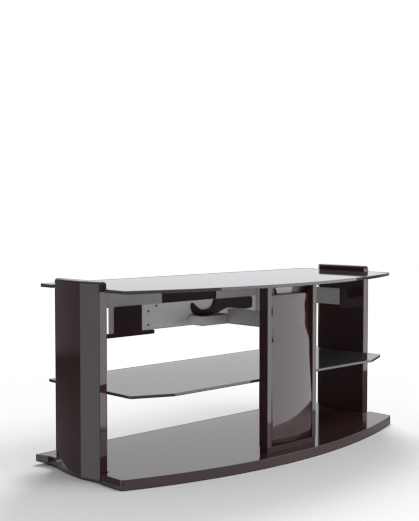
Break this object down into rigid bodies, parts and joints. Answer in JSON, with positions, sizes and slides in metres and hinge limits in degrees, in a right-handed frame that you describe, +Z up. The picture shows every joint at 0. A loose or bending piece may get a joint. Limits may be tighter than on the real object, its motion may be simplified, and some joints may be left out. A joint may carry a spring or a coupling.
{
  "type": "media cabinet",
  "caption": "Bow-fronted media cabinet with curved end panels, smoked glass top and shelf, and a front cable column with a hinged curved door.",
  "frame": {"origin": "floor level, centre of the cabinet's bounding box", "axes": "+X along the width, to the right seen from the front; +Y to the back; +Z up"},
  "size_m": [1.312, 0.55, 0.596],
  "materials": {
    "lacquer": "high gloss espresso lacquer on board",
    "dark_lacquer": "satin espresso lacquer",
    "raw_board": "unfinished board",
    "smoked_glass": "polished smoked tempered glass",
    "grey_steel": "satin light grey paint",
    "mid_steel": "satin grey-brown paint",
    "dark_steel": "satin black-brown paint",
    "bright_steel": "nickel plated",
    "black_plastic": "fine texture",
    "clear_rubber": "soft, translucent",
    "felt": "hard felt"
  },
  "bodies": {
    "cabinet": {"apron_screws": "dark_steel", "base_board": "lacquer", "cable_arm": "grey_steel", "cable_box": "grey_steel", "cable_hook": "black_plastic", "catch_magnets": "bright_steel", "column_back": "dark_steel", "column_foot": "dark_lacquer", "column_head": "dark_steel", "column_left_stile": "lacquer", "column_right_stile": "lacquer", "floor_glides": "felt", "glass_bracket_screws": "dark_steel", "glass_brackets": "dark_steel", "glass_pads": "clear_rubber", "head_tongue": "mid_steel", "hinge_leaves": "dark_steel", "hinge_pins": "bright_steel", "latch_body": "black_plastic", "left_end_plate": "mid_steel", "left_panel_board": "lacquer", "left_panel_shell": "lacquer", "left_side_bracket": "mid_steel", "mid_shelf": "smoked_glass", "panel_base_bolts": "bright_steel", "panel_ribs": "raw_board", "port_liner": "black_plastic", "rail_apron": "grey_steel", "rear_rail": "mid_steel", "right_end_plate": "mid_steel", "right_panel_board": "lacquer", "right_panel_shell": "lacquer", "right_side_bracket": "mid_steel", "shelf_pin_sleeves": "clear_rubber", "shelf_pins": "bright_steel", "side_bracket_screws": "mid_steel", "top_glass": "smoked_glass", "tray_bracket": "black_plastic"},
    "door": {"column_door": "lacquer", "hinge_arms": "dark_steel", "strike_plates": "bright_steel"},
    "latch": {"latch_plunger": "black_plastic"}
  },
  "joints": [
    {"name": "door_hinge", "type": "hinge", "parent": "cabinet", "child": "door", "pos_m": [-0.0964, -0.2264, 0.3], "axis": [0, 0, -1], "range_deg": [0, 100]},
    {"name": "latch_press", "type": "slide", "parent": "cabinet", "child": "latch", "axis": [0, 1, 0], "range_m": [0, 0.003], "stiffness_N_per_m": 300}
  ]
}
